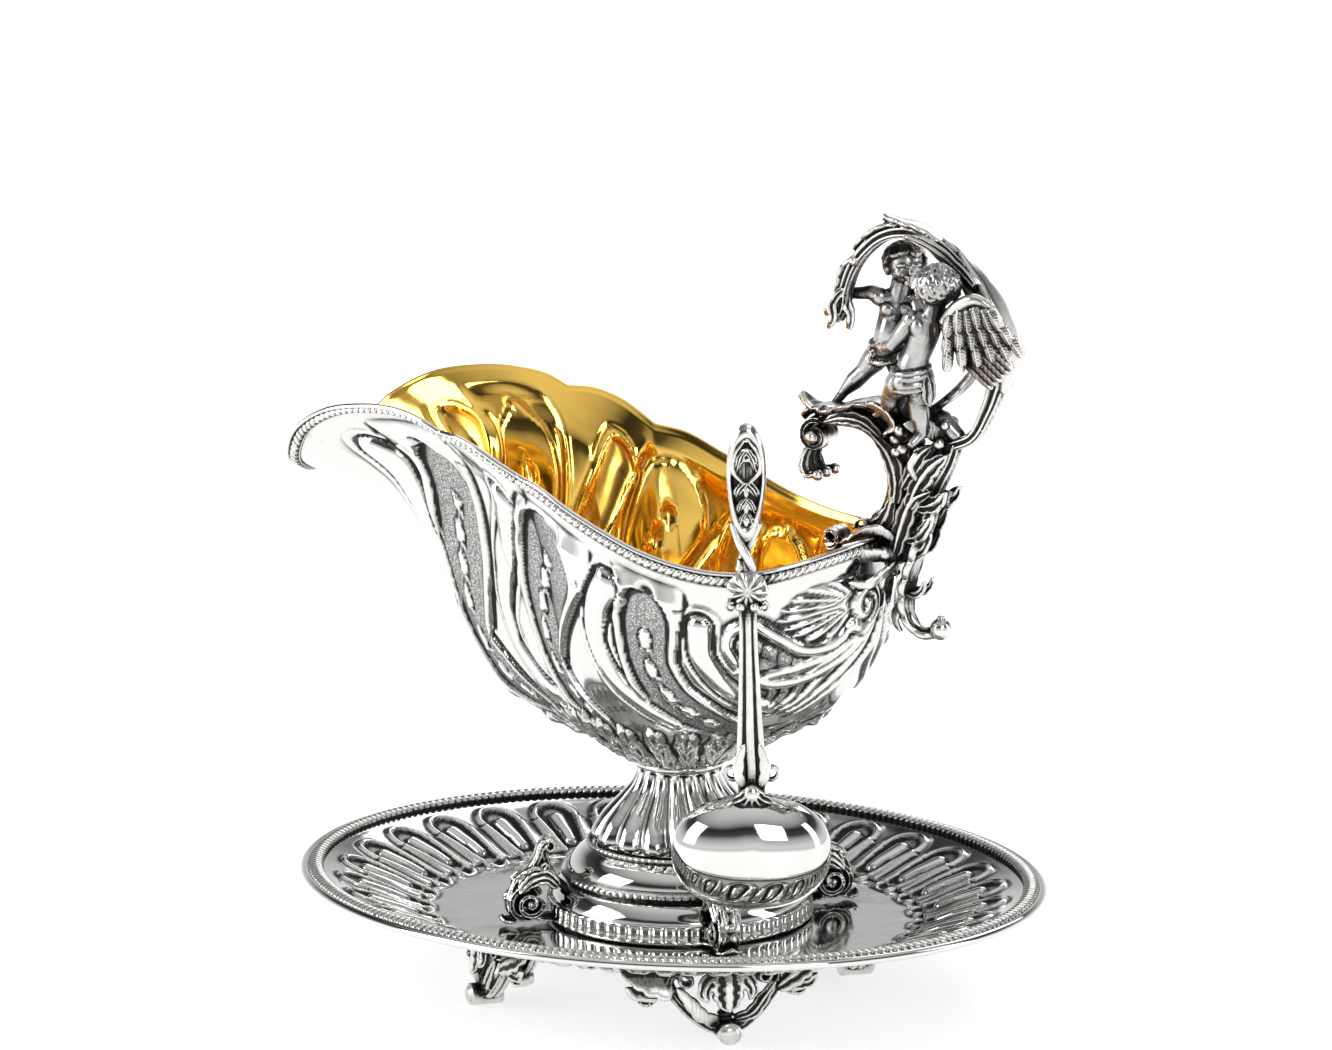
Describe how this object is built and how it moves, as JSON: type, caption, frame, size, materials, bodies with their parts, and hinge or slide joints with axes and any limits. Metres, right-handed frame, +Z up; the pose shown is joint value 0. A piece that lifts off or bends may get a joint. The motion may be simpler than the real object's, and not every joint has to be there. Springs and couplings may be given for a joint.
{
  "type": "footed sauce boat with stand and ladle",
  "caption": "Footed silver sauce boat with a cast scroll handle, standing on an oval footed tray, with a ladle leaning on its rim.",
  "frame": {"origin": "on the table, under the middle of the whole set; the pedestal's axis is 8.5 mm towards the handle", "axes": "+X towards the handle, -X towards the pouring lip, +Z up"},
  "size_m": [0.3156, 0.256, 0.315],
  "materials": {
    "polished_silver": "mirror polished",
    "cast_silver": "cast and chased, darkened in the recesses",
    "chased_silver": "chased and polished outside, gilt inside"
  },
  "bodies": {
    "stand": {"tray_dish": "chased_silver", "tray_rope_border": "cast_silver", "tray_edge_wire": "polished_silver", "tray_foot_handle_far": "cast_silver", "tray_foot_lip_far": "cast_silver", "tray_foot_lip_near": "cast_silver", "tray_foot_handle_near": "cast_silver"},
    "boat": {"base_skirt": "cast_silver", "base_lower_dome": "polished_silver", "base_step_ring": "polished_silver", "base_upper_dome": "polished_silver", "stem_bead_ring": "polished_silver", "pedestal_stem": "cast_silver", "stem_collar": "polished_silver", "base_bracket_handle_far": "cast_silver", "base_bracket_lip_far": "cast_silver", "base_bracket_lip_near": "cast_silver", "base_bracket_handle_near": "cast_silver", "hull_shell": "chased_silver", "hull_rim_border": "cast_silver", "handle_rim_mount": "cast_silver", "handle_scroll": "cast_silver", "handle_scroll_volute": "cast_silver", "handle_scroll_leaf": "cast_silver", "handle_trunk": "cast_silver", "handle_tail_leaf": "cast_silver", "handle_arch_branch": "cast_silver", "handle_arch_strand": "cast_silver", "putto_near": "cast_silver", "putto_far": "cast_silver", "putto_wing_upper": "cast_silver", "putto_wing_lower": "cast_silver"},
    "ladle": {"ladle_bowl": "polished_silver", "ladle_stem": "cast_silver", "ladle_bud": "cast_silver", "ladle_medallion": "cast_silver", "ladle_handle_top": "cast_silver"}
  },
  "joints": [
    {"name": "boat_lift", "type": "slide", "parent": "stand", "child": "boat", "axis": [0, 0, 1], "range_m": [0, 0.08]},
    {"name": "ladle_lift", "type": "slide", "parent": "boat", "child": "ladle", "axis": [0.3428, -0.6184, 0.7071], "range_m": [0, 0.12]}
  ]
}
